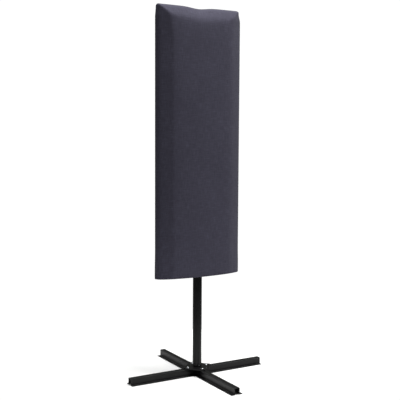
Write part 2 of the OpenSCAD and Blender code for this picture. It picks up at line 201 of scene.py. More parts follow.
@dataclass(frozen=True)
class Finish:
    """A material with a Principled shader; each kind gives its own pattern."""

    name: str

    def material(self) -> bpy.types.Material:
        """Builds the material: the shader with its sockets filled, and the output."""
        made = bpy.data.materials.new(self.name)
        made.use_nodes = True
        tree = made.node_tree
        tree.nodes.clear()
        shader = add_node(tree, "ShaderNodeBsdfPrincipled", **self.sockets(tree, self.place(tree)))
        add_node(tree, "ShaderNodeOutputMaterial", Surface=shader)
        return made

    def place(self, tree: Tree) -> Any:
        """Gives what the pattern lies on: the object's own X, Y and Z, in metres."""
        return add_node(tree, "ShaderNodeTexCoord").outputs["Object"]

    def sockets(self, tree: Tree, place: Any) -> dict[str, Any]:
        """Gives the value or the pattern of each shader socket.

        Args:
            tree: node tree to add to.
            place: what the pattern lies on, in metres.

        Returns:
            A value, a node or an output for each of the shader's sockets, by the socket's name.
        """
        raise NotImplementedError


@dataclass(frozen=True)
class PowderCoat(Finish):
    """Black satin polyester powder coat, baked on folded steel.

    Gives the eye a soft, slightly broken reflection: the fine orange peel of melted powder. The
    peel is about 0.8 mm across; it is drawn at 2.5 mm so that it shows.
    """

    colour: str = "101011"
    dust: str = "19191a"
    dust_scale: float = 9.0
    peel: float = 2.5 * MM
    peel_height: float = 0.15 * MM
    edge: float = 3.0 * MM
    roughness: tuple[float, float] = (0.27, 0.36)

    def sockets(self, tree: Tree, place: Any) -> dict[str, Any]:
        """Orange peel on the normal, softened edges, and a faint dusty change of tone and gloss.

        Args:
            tree: node tree to add to.
            place: what the pattern lies on, in metres.

        Returns:
            What each of the shader's sockets gets, by the socket's name.
        """
        peel = add_node(
            tree, "ShaderNodeTexNoise", Vector=place, Scale=1 / self.peel, Detail=2.0, Roughness=0.4
        )
        dust = add_node(
            tree, "ShaderNodeTexNoise", Vector=place, Scale=self.dust_scale, Detail=4.0, Roughness=0.6
        )
        rounded = add_node(tree, "ShaderNodeBevel", {"samples": 6}, Radius=self.edge)
        bump = add_node(
            tree, "ShaderNodeBump", Strength=0.16, Distance=self.peel_height,
            Height=peel, Normal=rounded,
        )
        gloss = add_node(
            tree, "ShaderNodeMapRange", Value=dust, From_Min=0.3, From_Max=0.7,
            To_Min=self.roughness[0], To_Max=self.roughness[1],
        )
        tone = add_node(
            tree, "ShaderNodeValToRGB", stops=[(0.35, self.colour), (0.75, self.dust)], Fac=dust
        )
        return {
            "Base Color": tone,
            "Roughness": gloss,
            "Normal": bump,
            "IOR": 1.5,
            "Specular IOR Level": 0.17,
        }


@dataclass(frozen=True)
class ZincPlate(Finish):
    """Bright zinc plating on rolled screws and wire.

    Gives the eye a pale, slightly blue metal with a fine, uneven gloss, 1 mm across.
    """

    bright: str = "b4b7ba"
    worn: str = "8d9195"
    patch: float = 1.0 * MM
    roughness: tuple[float, float] = (0.16, 0.4)

    def sockets(self, tree: Tree, place: Any) -> dict[str, Any]:
        """Small patches of two greys and of gloss.

        Args:
            tree: node tree to add to.
            place: what the pattern lies on, in metres.

        Returns:
            What each of the shader's sockets gets, by the socket's name.
        """
        patch = add_node(tree, "ShaderNodeTexNoise", Vector=place, Scale=1 / self.patch, Detail=3.0)
        gloss = add_node(
            tree, "ShaderNodeMapRange", Value=patch, To_Min=self.roughness[0], To_Max=self.roughness[1]
        )
        tone = add_node(
            tree, "ShaderNodeValToRGB", stops=[(0.3, self.worn), (0.6, self.bright)], Fac=patch
        )
        return {"Base Color": tone, "Roughness": gloss, "Metallic": 1.0}


@dataclass(frozen=True)
class RolledSteel(Finish):
    """Bare hot-rolled steel with mill scale, as welded brackets are made of.

    Gives the eye a dark grey metal with cloudy patches of blue-grey scale, about 12 mm across, and
    a fine grain of 0.6 mm, drawn at 1.5 mm.
    """

    scale_colour: str = "45474b"
    bare: str = "77797b"
    cloud: float = 12 * MM
    grain: float = 1.5 * MM
    grain_height: float = 0.1 * MM
    roughness: tuple[float, float] = (0.32, 0.62)

    def sockets(self, tree: Tree, place: Any) -> dict[str, Any]:
        """Clouds of scale, and a fine grain on the normal.

        Args:
            tree: node tree to add to.
            place: what the pattern lies on, in metres.

        Returns:
            What each of the shader's sockets gets, by the socket's name.
        """
        cloud = add_node(tree, "ShaderNodeTexNoise", Vector=place, Scale=1 / self.cloud, Detail=5.0)
        grain = add_node(tree, "ShaderNodeTexNoise", Vector=place, Scale=1 / self.grain, Detail=2.0)
        bump = add_node(tree, "ShaderNodeBump", Strength=0.25, Distance=self.grain_height, Height=grain)
        gloss = add_node(
            tree, "ShaderNodeMapRange", Value=cloud, To_Min=self.roughness[0], To_Max=self.roughness[1]
        )
        tone = add_node(
            tree, "ShaderNodeValToRGB", stops=[(0.4, self.scale_colour), (0.62, self.bare)], Fac=cloud
        )
        return {"Base Color": tone, "Roughness": gloss, "Normal": bump, "Metallic": 0.9}


@dataclass(frozen=True)
class MouldedNylon(Finish):
    """Black injection-moulded nylon of caps and bushes.

    Gives the eye a low, waxy gloss on the fine grain of a spark-eroded mould, 0.4 mm, drawn at 1 mm.
    """

    colour: str = "1d1d1f"
    worn: str = "2a2a2c"
    worn_scale: float = 40.0
    grain: float = 1.0 * MM
    grain_height: float = 0.08 * MM

    def sockets(self, tree: Tree, place: Any) -> dict[str, Any]:
        """Mould grain on the normal, and a faint change of tone.

        Args:
            tree: node tree to add to.
            place: what the pattern lies on, in metres.

        Returns:
            What each of the shader's sockets gets, by the socket's name.
        """
        grain = add_node(tree, "ShaderNodeTexNoise", Vector=place, Scale=1 / self.grain, Detail=2.0)
        worn = add_node(tree, "ShaderNodeTexNoise", Vector=place, Scale=self.worn_scale, Detail=3.0)
        bump = add_node(tree, "ShaderNodeBump", Strength=0.3, Distance=self.grain_height, Height=grain)
        tone = add_node(
            tree, "ShaderNodeValToRGB", stops=[(0.35, self.colour), (0.7, self.worn)], Fac=worn
        )
        return {"Base Color": tone, "Normal": bump, "Roughness": 0.42, "IOR": 1.53}


@dataclass(frozen=True)
class Timber(Finish):
    """Sawn or stained wood with its growth rings drawn out along the grain.

    Gives the eye pale early wood between darker late wood, rings 5 mm apart, with fine pores of
    0.1 mm, drawn at 1.2 mm.
    """

    early: str
    late: str
    grain: Grain
    ring: float = 5.0 * MM
    ring_share: float = 0.31
    pore: float = 1.2 * MM
    pore_height: float = 0.2 * MM
    pore_tone: float = 0.35

    def sockets(self, tree: Tree, place: Any) -> dict[str, Any]:
        """Wavy rings drawn out along the grain, and pores in tone and on the normal.

        The wave repeats ring_share / pi times for each unit of its scale.

        Args:
            tree: node tree to add to.
            place: what the pattern lies on, in metres.

        Returns:
            What each of the shader's sockets gets, by the socket's name.
        """
        drawn = add_node(tree, "ShaderNodeMapping", Vector=place, Scale=self.grain.value)
        rings = add_node(
            tree, "ShaderNodeTexWave", {"wave_type": "BANDS", "bands_direction": "DIAGONAL"},
            Vector=drawn, Scale=self.ring_share / self.ring / math.pi, Distortion=5.0,
            Detail=3.0, Detail_Scale=1.2,
        )
        pores = add_node(tree, "ShaderNodeTexNoise", Vector=drawn, Scale=1 / self.pore, Detail=3.0)
        bump = add_node(tree, "ShaderNodeBump", Strength=0.3, Distance=self.pore_height, Height=pores)
        tone = add_node(
            tree, "ShaderNodeValToRGB", stops=[(0.1, self.early), (0.95, self.late)],
            Fac=rings.outputs["Fac"],
        )
        mixed = add_node(
            tree, "ShaderNodeMix", {"data_type": "RGBA", "blend_type": "MULTIPLY"},
            i0=self.pore_tone, i6=tone, i7=pores.outputs["Color"],
        )
        return {"Base Color": mixed.outputs[2], "Normal": bump, "Roughness": 0.7}


@dataclass(frozen=True)
class NeedleFelt(Finish):
    """Needled polyester felt, which fills the frame and takes up sound.

    Gives the eye a matt grey mat of tangled fibres; fibres of 0.05 mm are drawn at 1.5 mm.
    """

    pale: str = "9a9a98"
    dark: str = "6a6b6c"
    fibre: float = 1.5 * MM
    fibre_height: float = 0.6 * MM

    def sockets(self, tree: Tree, place: Any) -> dict[str, Any]:
        """Tangled fibres in tone and on the normal.

        Args:
            tree: node tree to add to.
            place: what the pattern lies on, in metres.

        Returns:
            What each of the shader's sockets gets, by the socket's name.
        """
        mat = add_node(
            tree, "ShaderNodeTexNoise", Vector=place, Scale=1 / self.fibre, Detail=4.0, Distortion=2.5
        )
        bump = add_node(tree, "ShaderNodeBump", Strength=0.6, Distance=self.fibre_height, Height=mat)
        tone = add_node(
            tree, "ShaderNodeValToRGB", stops=[(0.35, self.dark), (0.65, self.pale)], Fac=mat
        )
        return {"Base Color": tone, "Normal": bump, "Roughness": 0.95}


@dataclass(frozen=True)
class OpenCellFoam(Finish):
    """Cut open-cell polyurethane foam.

    Gives the eye a yellowish block with small open cells, darkened in their hollows as painted shade;
    cells of 0.6 mm are drawn at 2.5 mm.
    """

    wall: str = "e0d6a4"
    # painted shade: the darker colour given to the hollow middle of each cell
    shaded_hole: str = "a99f70"
    cell: float = 2.5 * MM
    cell_height: float = 0.8 * MM

    def sockets(self, tree: Tree, place: Any) -> dict[str, Any]:
        """Open cells on the normal, with painted shade in tone: each cell is darker towards its hollow
        middle.

        Args:
            tree: node tree to add to.
            place: what the pattern lies on, in metres.

        Returns:
            What each of the shader's sockets gets, by the socket's name.
        """
        cells = add_node(tree, "ShaderNodeTexVoronoi", Vector=place, Scale=1 / self.cell)
        bump = add_node(tree, "ShaderNodeBump", Strength=0.7, Distance=self.cell_height, Height=cells)
        # painted shade: the colour darkens where the bump is lowest, in the cells' hollows
        tone = add_node(
            tree, "ShaderNodeValToRGB", stops=[(0.15, self.shaded_hole), (0.55, self.wall)], Fac=cells
        )
        return {"Base Color": tone, "Normal": bump, "Roughness": 0.9}


@dataclass(frozen=True)
class WovenCover(Finish):
    """Plain-woven wool blend in a dark blue-violet grey, stretched over foam.

    Gives the eye a flat, matt cloth with a faint melange of lighter and darker yarn and a short
    nap that catches light at the edges. Yarns lie about 0.9 mm apart; they are drawn at 2.4 mm.
    """

    dark: str = "373544"
    mid: str = "3f3d4c"
    pale: str = "4a4859"
    nap: str = "bcbfb2"
    yarn: float = 2.4 * MM
    yarn_height: float = 0.35 * MM
    crossing: float = 0.25
    streak: float = 0.12
    broad_scale: float = 3.5
    broad_share: float = 0.25

    def place(self, tree: Tree) -> Any:
        """Gives what the pattern lies on: the cloth as it was cut, in metres."""
        return add_node(tree, "ShaderNodeUVMap", {"uv_map": "cloth"})

    def weave(self, tree: Tree, place: Any) -> tuple[Any, Any]:
        """Adds the over-and-under of the yarns.

        Formula: a sine wave along each axis; where their product is positive the warp lies on top,
        elsewhere the weft does, and the height is the upper yarn's own rounded wave.

        Args:
            tree: node tree to add to.
            place: what the pattern lies on, in metres.

        Returns:
            Nodes that say which yarn is on top, from 0 to 1, and how high it stands.
        """
        split = add_node(tree, "ShaderNodeSeparateXYZ", Vector=place)
        waves = []
        for axis in (0, 1):
            turn = add_node(
                tree, "ShaderNodeMath", {"operation": "MULTIPLY"},
                i0=split.outputs[axis], i1=math.pi / self.yarn,
            )
            waves.append(add_node(tree, "ShaderNodeMath", {"operation": "SINE"}, i0=turn))
        over = add_node(tree, "ShaderNodeMath", {"operation": "MULTIPLY"}, i0=waves[0], i1=waves[1])
        warp, weft = (
            add_node(tree, "ShaderNodeMath", {"operation": "ABSOLUTE"}, i0=wave)
            for wave in waves
        )
        which = add_node(
            tree, "ShaderNodeMapRange", Value=over, From_Min=-self.crossing, From_Max=self.crossing
        )
        height = add_node(tree, "ShaderNodeMix", {"data_type": "FLOAT"}, i0=which, i2=weft, i3=warp)
        return which, height

    def sockets(self, tree: Tree, place: Any) -> dict[str, Any]:
        """The weave on the cloth, with a melange along each yarn and a broad change of tone.

        Args:
            tree: node tree to add to.
            place: what the pattern lies on, in metres.

        Returns:
            What each of the shader's sockets gets, by the socket's name.
        """
        which, height = self.weave(tree, place)
        drawn = [
            add_node(tree, "ShaderNodeMapping", Vector=place, Scale=scale)
            for scale in ((1.0, self.streak, 1.0), (self.streak, 1.0, 1.0))
        ]
        yarns = [
            add_node(tree, "ShaderNodeTexNoise", Vector=along, Scale=1 / (2 * self.yarn), Detail=2.0)
            for along in drawn
        ]
        melange = add_node(
            tree, "ShaderNodeMix", {"data_type": "FLOAT"}, i0=which, i2=yarns[1], i3=yarns[0]
        )
        broad = add_node(tree, "ShaderNodeTexNoise", Vector=place, Scale=self.broad_scale, Detail=3.0)
        mixed = add_node(
            tree, "ShaderNodeMix", {"data_type": "FLOAT"}, i0=self.broad_share, i2=melange, i3=broad
        )
        tone = add_node(
            tree, "ShaderNodeValToRGB", Fac=mixed,
            stops=[(0.32, self.dark), (0.5, self.mid), (0.68, self.pale)],
        )
        bump = add_node(tree, "ShaderNodeBump", Strength=0.35, Distance=self.yarn_height, Height=height)
        return {
            "Base Color": tone,
            "Normal": bump,
            "Roughness": 0.88,
            "Specular IOR Level": 0.25,
            "Sheen Weight": 0.17,
            "Sheen Roughness": 0.45,
            "Sheen Tint": linear(self.nap),
        }


@dataclass(frozen=True)
class StudioFloor(Finish):
    """Matt white studio floor with a barely uneven tone."""

    colour: str = "f4f4f4"
    shade: str = "efefef"
    shade_scale: float = 0.8

    def sockets(self, tree: Tree, place: Any) -> dict[str, Any]:
        """A faint, broad change of tone.

        Args:
            tree: node tree to add to.
            place: what the pattern lies on, in metres.

        Returns:
            What each of the shader's sockets gets, by the socket's name.
        """
        shade = add_node(tree, "ShaderNodeTexNoise", Vector=place, Scale=self.shade_scale, Detail=2.0)
        tone = add_node(
            tree, "ShaderNodeValToRGB", stops=[(0.3, self.shade), (0.7, self.colour)], Fac=shade
        )
        return {"Base Color": tone, "Roughness": 0.9}


def dress(nodes: tuple[str, ...], finish: Finish) -> None:
    """Gives one finish to several CAD nodes.

    Args:
        nodes: names of the CAD nodes.
        finish: what they are made of and how it looks.
    """
    made = finish.material()
    for name in nodes:
        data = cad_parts[name].data
        data.materials.clear()
        data.materials.append(made)
        LOG.info("%s is dressed in %s", name, finish.name)


# ---- Sub-assemblies ----


@dataclass
class SteelStand:
    """The cross foot, its base plate and the pole."""

    coated: tuple[str, ...] = (
        "foot_arm_left", "foot_arm_right", "foot_arm_front", "foot_arm_rear", "base_plate", "pole",
    )
    bare: tuple[str, ...] = ("joining_cross", "weld_nuts", "pole_spigot")
    plated: tuple[str, ...] = ("foot_screws", "pole_lock_screw")
    moulded: tuple[str, ...] = ("pole_cap", "swivel_pad")

    def build(self) -> None:
        """Dresses the stand's CAD nodes."""
        dress(self.coated, PowderCoat("satin_black_powder_coat"))
        dress(self.bare, RolledSteel("hot_rolled_steel"))
        dress(self.plated, ZincPlate("bright_zinc_plate"))
        dress(self.moulded, MouldedNylon("moulded_black_nylon"))


@dataclass
class PanelFrame:
    """The timber frame in the panel, its socket for the pole and its fillings."""

    upright: tuple[str, ...] = ("frame_stile_left", "frame_stile_right")
    level: tuple[str, ...] = ("frame_top_rail", "frame_mid_rail_left", "frame_mid_rail_right")
    board: tuple[str, ...] = ("bottom_board",)
    welded: tuple[str, ...] = ("socket_tube", "socket_flange", "socket_stop_plate")
    bushes: tuple[str, ...] = ("lower_bush", "upper_bush")
    plated: tuple[str, ...] = (
        "frame_screws", "board_screws", "flange_screws", "stop_plate_screws", "hem_staples",
    )
    fillings: tuple[str, ...] = ("core_upper", "core_lower_left", "core_lower_right")

    def build(self) -> None:
        """Dresses the frame's CAD nodes."""
        dress(self.upright, Timber("sawn_pine_upright", "d9b987", "b98d55", Grain.ALONG_Z))
        dress(self.level, Timber("sawn_pine_level", "d9b987", "b98d55", Grain.ALONG_X))
        dress(self.board, Timber("black_stained_plywood", "2b2825", "1b1917", Grain.ALONG_X))
        dress(self.welded, RolledSteel("hot_rolled_steel_socket"))
        dress(self.bushes, MouldedNylon("moulded_black_nylon_bush"))
        dress(self.plated, ZincPlate("bright_zinc_fasteners"))
        dress(self.fillings, NeedleFelt("grey_needle_felt"))


@dataclass
class PanelForm:
    """The crowned form that the cover takes: sizes, and the surface as functions of two parameters.

    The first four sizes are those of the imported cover.
    """

    half_width: float = 252.5 * MM
    half_depth: float = 62.6 * MM
    bottom: float = 540 * MM
    top: float = 1942 * MM
    corner: float = 14 * MM
    shoulder_in: tuple[float, float] = (4 * MM, 10 * MM)
    shoulder_height: float = 66 * MM
    shoulder_fade: float = 60 * MM
    dip: float = 9 * MM
    dip_width: float = 60 * MM
    dip_fade: float = 70 * MM
    lean: float = 0.008
    bevel_start: float = 15.0 * MM
    bevel_turn: float = 6 * MM
    bevel_slope: float = 0.47
    top_slope: float = 1.55
    side_crown: float = 19 * MM
    top_crown: float = 14 * MM
    top_crown_fade: float = 75 * MM
    side_ridge: tuple[float, float] = (1.1 * MM, 2.6 * MM)
    top_ridge: float = 6.5 * MM
    mitre: float = 2.5 * MM
    mitre_change: float = 50 * MM
    roll: float = 1.6 * MM
    board_power: float = 0.45
    board_ease: float = 0.5 * MM
    board_fade: tuple[float, float] = (575 * MM, 120 * MM)

    def bevel_depth(self, inside: np.ndarray) -> np.ndarray:
        """Half depth of the bevel above the seam roll.

        Formula: a steep start, 1 less an exponential, plus a straight slope.

        Args:
            inside: distances from the seam, in metres.

        Returns:
            Half depths, in metres.
        """
        return self.bevel_start * (1 - np.exp(-inside / self.bevel_turn)) + self.bevel_slope * inside

    def crown_depth(self, from_side: np.ndarray, from_top: np.ndarray) -> np.ndarray:
        """Half depth of the crowned face above the seam roll.

        Formula: the full half depth, less a parabola that falls away to both sides and less an
        exponential that falls away near the top.

        Args:
            from_side: distances from the side seam, in metres.
            from_top: distances from the top seam, in metres.

        Returns:
            Half depths, in metres.
        """
        across = self.side_crown * (1 - np.clip(from_side, 0, None) / self.half_width) ** 2
        up = self.top_crown * np.exp(-np.clip(from_top, 0, None) / self.top_crown_fade)
        return self.half_depth - self.roll - across - up

    def board_depth(self, inside: np.ndarray) -> np.ndarray:
        """Half depth of the cut round the bottom board: a rounded lens.

        Formula: the full half depth times a power of 1 less the squared distance from the middle,
        plus a little ease.

        Args:
            inside: distances from the side seam, in metres.

        Returns:
            Half depths, in metres.
        """
        share = np.clip(1 - (1 - np.clip(inside, 0, None) / self.half_width) ** 2, 0, 1)
        return self.half_depth * share**self.board_power + self.board_ease

    def surface(self, x: np.ndarray, z: np.ndarray, inset: float) -> np.ndarray:
        """Half depth of the form over the plain rectangle.

        Formula: the soft lesser of bevel and crown, which changes softly into the lens of the
        board over the lowest part. The bevels of side and top meet in a mitre, and the ridge
        between bevel and crown is sharp along the sides and soft along the top.

        Args:
            x: X on the plain rectangle.
            z: height on the rectangle.
            inset: how far the whole form is drawn in.

        Returns:
            Half depths, in metres.
        """
        from_side, from_top = self.half_width - inset - np.abs(x), self.top - inset - z
        scaled = from_top * self.top_slope
        inside = np.clip(soft_min(from_side, scaled, self.mitre), 0, None)
        near_top = soft_step((from_side - scaled) / self.mitre_change + 0.5)
        side_ridge = np.where(x < 0, *self.side_ridge)
        ridge = side_ridge + (self.top_ridge - side_ridge) * near_top
        met = soft_min(self.bevel_depth(inside), self.crown_depth(from_side, from_top), ridge)
        formed = np.maximum(met, 0) + self.roll
        board = np.maximum(self.board_depth(from_side), self.roll)
        start, length = self.board_fade
        low = 1 - soft_step((z - start) / length)
        return (formed + (np.maximum(board, formed) - formed) * low) * (1 - inset / self.half_depth)

    def section(self, across: np.ndarray, inset: float) -> tuple[np.ndarray, np.ndarray]:
        """Level cut through the form, drawn in by an inset.

        Args:
            across: place from -1 at the left seam to 1 at the right one.
            inset: how far the cut is drawn in.

        Returns:
            X and the half depth at each place.
        """
        reach = self.half_width - inset
        x = reach * np.sin(math.pi / 2 * across)
        inside = (reach - np.abs(x)) * self.half_width / reach
        share = (self.half_depth - inset) / self.half_depth
        return x, share * self.board_depth(inside)

    def plan(self, x: np.ndarray, z: np.ndarray, inset: float) -> tuple[np.ndarray, np.ndarray]:
        """Where a place of the plain rectangle lies on the real outline.

        The upper corners are rounded by stretching a square onto a quarter disc, the sides are
        drawn in at the shoulders, more at the right one, and the top leans a little and is drawn
        down in its middle. The last two fade away from the seam.

        Args:
            x: X on the rectangle.
            z: height on the rectangle.
            inset: how far the whole form is drawn in.

        Returns:
            X and Z on the form.
        """
        reach, top, radius = self.half_width - inset, self.top - inset, self.corner
        from_side, from_top = reach - np.abs(x), top - z
        s = np.clip(1 - from_side / radius, 0, 1)
        t = np.clip(1 - from_top / radius, 0, 1)
        out = reach - radius + radius * s * np.sqrt(1 - t * t / 2)
        high = top - radius + radius * t * np.sqrt(1 - s * s / 2)
        new_x = np.where(s > 0, out, np.abs(x))
        new_z = np.where(t > 0, high, z)
        drawn = soft_step((z - (top - self.shoulder_height)) / (self.shoulder_height - radius))
        shoulder_in = np.where(x < 0, *self.shoulder_in)
        new_x = new_x - shoulder_in * drawn * np.exp(-from_side / self.shoulder_fade)
        dip = self.dip * np.exp(-((x / self.dip_width) ** 2)) + self.lean * x
        new_z = new_z - dip * np.exp(-np.clip(from_top, 0, None) / self.dip_fade)
        return np.sign(x) * new_x, new_z

    def heights(self, inset: float, fine: int, coarse: float) -> np.ndarray:
        """Row heights of the grid: even below, and ever closer towards the top seam.

        Args:
            inset: how far the form is drawn in.
            fine: rows over the last half width below the top.
            coarse: row pitch below them.

        Returns:
            Heights on the plain rectangle, from the bottom up.
        """
        top = self.top - inset
        change = top - self.half_width
        even = np.linspace(self.bottom, change, int((change - self.bottom) / coarse) + 1)
        close = top - self.half_width * (1 - np.sin(np.linspace(0, math.pi / 2, fine + 1)))
        return np.concatenate([even[:-1], close])


@dataclass
class Swelling:
    """A short cloth simulation: a half of the cover, held at its seam and its hem, swells on its foam.

    The simulated sheet has fewer corners than the cover; its moves are capped and spread over the
    cover's own grid.
    """

    cells: tuple[int, int] = (112, 40)
    frames: int = 16
    quality: int = 6
    mass: float = 0.08
    pressure: float = 4.0
    stiffness: float = 15.0
    shear: float = 5.0
    bending: float = 0.8
    cap: float = 2.0 * MM
    smoothing: int = 6

    def simulate(self, sheet: bpy.types.Object, border: np.ndarray) -> np.ndarray:
        """Runs the simulation on a sheet and removes the sheet.

        Args:
            sheet: the sheet at rest.
            border: numbers of the corners that stay where they are.

        Returns:
            Corner positions at the last frame, n by 3.
        """
        sheet.vertex_groups.new(name="pinned").add(border.tolist(), 1.0, "ADD")
        cloth = sheet.modifiers.new("swelling", "CLOTH")
        settings = cloth.settings
        settings.vertex_group_mass = "pinned"
        settings.quality = self.quality
        settings.mass = self.mass
        settings.tension_stiffness = settings.compression_stiffness = self.stiffness
        settings.shear_stiffness = self.shear
        settings.bending_stiffness = self.bending
        settings.use_pressure = True
        settings.uniform_pressure_force = self.pressure
        settings.effector_weights.gravity = 0.0
        cloth.collision_settings.use_collision = False
        cloth.point_cache.frame_start, cloth.point_cache.frame_end = 1, self.frames
        scene = bpy.context.scene
        for number in range(1, self.frames + 1):
            scene.frame_set(number)
        swollen = sheet.evaluated_get(bpy.context.evaluated_depsgraph_get()).data
        moved = np.empty(len(swollen.vertices) * 3, np.float32)
        swollen.vertices.foreach_get("co", moved)
        mesh = sheet.data
        bpy.data.objects.remove(sheet)
        bpy.data.meshes.remove(mesh)
        scene.frame_set(1)
        return moved.reshape(-1, 3).astype(float)

    @staticmethod
    def spread(values: np.ndarray, places: np.ndarray) -> np.ndarray:
        """Fills in the rows between known rows, by straight lines along the first axis.

        Args:
            values: known rows.
            places: number that each known row has in the result, from 0 up.

        Returns:
            All rows.
        """
        wanted = np.arange(places[-1] + 1)
        after = np.clip(np.searchsorted(places, wanted, side="right"), 1, len(places) - 1)
        share = ((wanted - places[after - 1]) / (places[after] - places[after - 1]))[:, None, None]
        return values[after - 1] * (1 - share) + values[after] * share

    def over(self, face: np.ndarray, side: Side) -> np.ndarray:
        """Works out how the swelling moves each point of the face.

        Formula: a move d is capped as d times cap over the root of cap squared plus d squared. A
        move towards the frame is left out, since foam stands in its way, and the rest are averaged
        with their neighbours a few times.

        Args:
            face: points of the face at rest, rows by columns by 3.
            side: which face it is.

        Returns:
            The moves, as face is.
        """
        rows, columns = (
            np.linspace(0, count - 1, cells + 1).round().astype(int)
            for count, cells in zip(face.shape[:2], self.cells)
        )
        rest = face[np.ix_(rows, columns)]
        index = np.arange(rest[..., 0].size).reshape(rest.shape[:2])
        quads = grid_quads(index)
        sheet = make_mesh("swelling_sheet", rest, quads if side is Side.FRONT else quads[:, ::-1])
        border = np.unique(np.concatenate([index[0], index[-1], index[:, 0], index[:, -1]]))
        moves = self.simulate(sheet, border).reshape(rest.shape) - rest
        length = np.linalg.norm(moves, axis=-1, keepdims=True)
        LOG.info("%s swells by up to %.1f mm before the cap", side.name.lower(), length.max() / MM)
        moves *= self.cap / np.sqrt(self.cap**2 + length**2) * (side.value * moves[..., 1:2] > 0)
        moves = self.spread(moves, rows)
        moves = self.spread(moves.swapaxes(0, 1), columns).swapaxes(0, 1)
        for _ in range(self.smoothing):
            moves[1:-1] = (moves[:-2] + 2 * moves[1:-1] + moves[2:]) / 4
            moves[:, 1:-1] = (moves[:, :-2] + 2 * moves[:, 1:-1] + moves[:, 2:]) / 4
        return moves


@dataclass
class Upholstery:
    """The sewn cover, its hem and the foam under it.

    The sizes of timber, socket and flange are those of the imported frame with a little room.
    """

    form: PanelForm = field(default_factory=PanelForm)
    swelling: Swelling = field(default_factory=Swelling)
    fabric: WovenCover = WovenCover("woven_wool_blend")
    fill: float = 0.95
    cloth: float = 1.2 * MM
    columns: int = 96
    fine_rows: int = 52
    row_pitch: float = 6 * MM
    roll_rings: int = 4
    seam_hold: float = 18 * MM
    pucker: float = 0.45 * MM
    pucker_reach: float = 9 * MM
    seam_seeds: tuple[int, int] = (11, 23)
    drag: float = 0.7 * MM
    drag_wave: float = 31 * MM
    drag_slant: float = 1.3
    drag_middle: tuple[float, float] = (62 * MM, 34 * MM)
    drag_size: tuple[float, float] = (58 * MM, 20 * MM)
    hem_turns: int = 4
    hem_roll: float = 3 * MM
    hem_drop: float = 1.2 * MM
    hem_width: float = 18 * MM
    hem_columns: int = 180
    hem_rings: int = 7
    hem_wave: float = 0.3 * MM
    hem_seed: int = 37
    hem_shift: float = 3.0
    hem_pressed: float = 0.9
    foam_gap: float = 3.2 * MM
    foam_columns: int = 80
    foam_rows: int = 30
    foam_pitch: float = 14 * MM
    foam_foot: tuple[float, float] = (558.3 * MM, 561 * MM)
    foam_even: float = 570 * MM
    foam_parting: float = 0.3 * MM
    foam_thinnest: float = 0.2 * MM
    timber_half: float = 15.6 * MM
    timber_reach: tuple[float, float] = (226 * MM, 1886 * MM)
    socket_radius: float = 31 * MM
    socket_top: float = 1257 * MM
    flange_half: tuple[float, float] = (57 * MM, 47 * MM)
    flange_top: float = 564 * MM
    flange_step: float = 1 * MM

    def puckers(self, along: np.ndarray, seed: int) -> np.ndarray:
        """Small waves that sewing leaves along a seam.

        Formula: the sum of five sine waves with wavelengths from 17 to 41 mm and seeded phases.

        Args:
            along: distance along the seam, in metres.
            seed: number that sets the phases.

        Returns:
            Heights from about -1 to 1.
        """
        lengths = np.array([17, 21, 26, 33, 41]) * MM
        heights = np.array([0.3, 0.3, 0.25, 0.25, 0.2])
        phases = np.random.default_rng(seed).uniform(0, 2 * math.pi, len(lengths))
        return np.sin(2 * math.pi * along[..., None] / lengths + phases) @ heights

    def relief(self, x: np.ndarray, z: np.ndarray, side: Side) -> np.ndarray:
        """How far the cloth stands proud of the plain form, in metres.

        Formula: puckers that die away inside the seam, plus slanting drag lines in the top bevel
        near the dip, which are a sine wave under a bell in both directions.

        Args:
            x: X of each point.
            z: height of each point.
            side: which face it is on.

        Returns:
            Height outwards.
        """
        from_side, from_top = self.form.half_width - np.abs(x), self.form.top - z
        seed = self.seam_seeds[0] if side is Side.FRONT else self.seam_seeds[1]
        at_side = self.puckers(z, seed) * np.exp(-((from_side / self.pucker_reach) ** 2))
        at_top = self.puckers(x, seed + 1) * np.exp(-((from_top / self.pucker_reach) ** 2))
        across = (np.abs(x) - self.drag_middle[0]) / self.drag_size[0]
        down = (from_top - self.drag_middle[1]) / self.drag_size[1]
        slant = x - self.drag_slant * np.sign(x) * from_top
        lines = np.sin(2 * math.pi * slant / self.drag_wave) * np.exp(-(across**2)) * np.exp(-(down**2))
        return self.pucker * (at_side + at_top) + self.drag * lines

    def face(self, side: Side) -> np.ndarray:
        """Works out one face of the cover, from the bottom to the top seam.

        Formula: a plain rectangle, closer set towards the seams by a sine, stands out by the form
        and the relief, is moved to the real outline, and swells, except at the seams.

        Args:
            side: the face to make.

        Returns:
            Points, rows by columns by 3.
        """
        shape = self.form
        rows = shape.heights(0, self.fine_rows, self.row_pitch)
        z0, across = np.meshgrid(rows, np.linspace(-1, 1, self.columns + 1), indexing="ij")
        x0 = shape.half_width * np.sin(math.pi / 2 * across)
        depth = shape.surface(x0, z0, 0) + self.relief(x0, z0, side)
        x, z = shape.plan(x0, z0, 0)
        points = np.stack([x, side.value * depth, z], axis=-1)
        from_seam = np.minimum(shape.half_width - np.abs(x0), shape.top - z0)
        held = soft_step(from_seam / self.seam_hold)[..., None]
        points += self.swelling.over(points, side) * held
        return points

    def turned_under(self, side: Side) -> np.ndarray:
        """Works out how the cover turns under the board.

        Formula: level cuts of the form along a quarter circle with the radius of the hem's roll.

        Args:
            side: the face to make.

        Returns:
            Points from the hem up, rows by columns by 3, on the columns of the face.
        """
        shape = self.form
        rows = []
        for turn in np.linspace(math.pi / 2, 0, self.hem_turns, endpoint=False):
            inset = self.hem_roll * (1 - math.cos(turn))
            x, y = shape.section(np.linspace(-1, 1, self.columns + 1), inset)
            level = shape.bottom + self.hem_roll * (1 - math.sin(turn)) - self.hem_drop
            rows.append(np.stack([x, side.value * y, np.full_like(x, level)], axis=-1))
        points = np.stack(rows)
        points[:, [0, -1], 1] = side.value * shape.roll
        return points

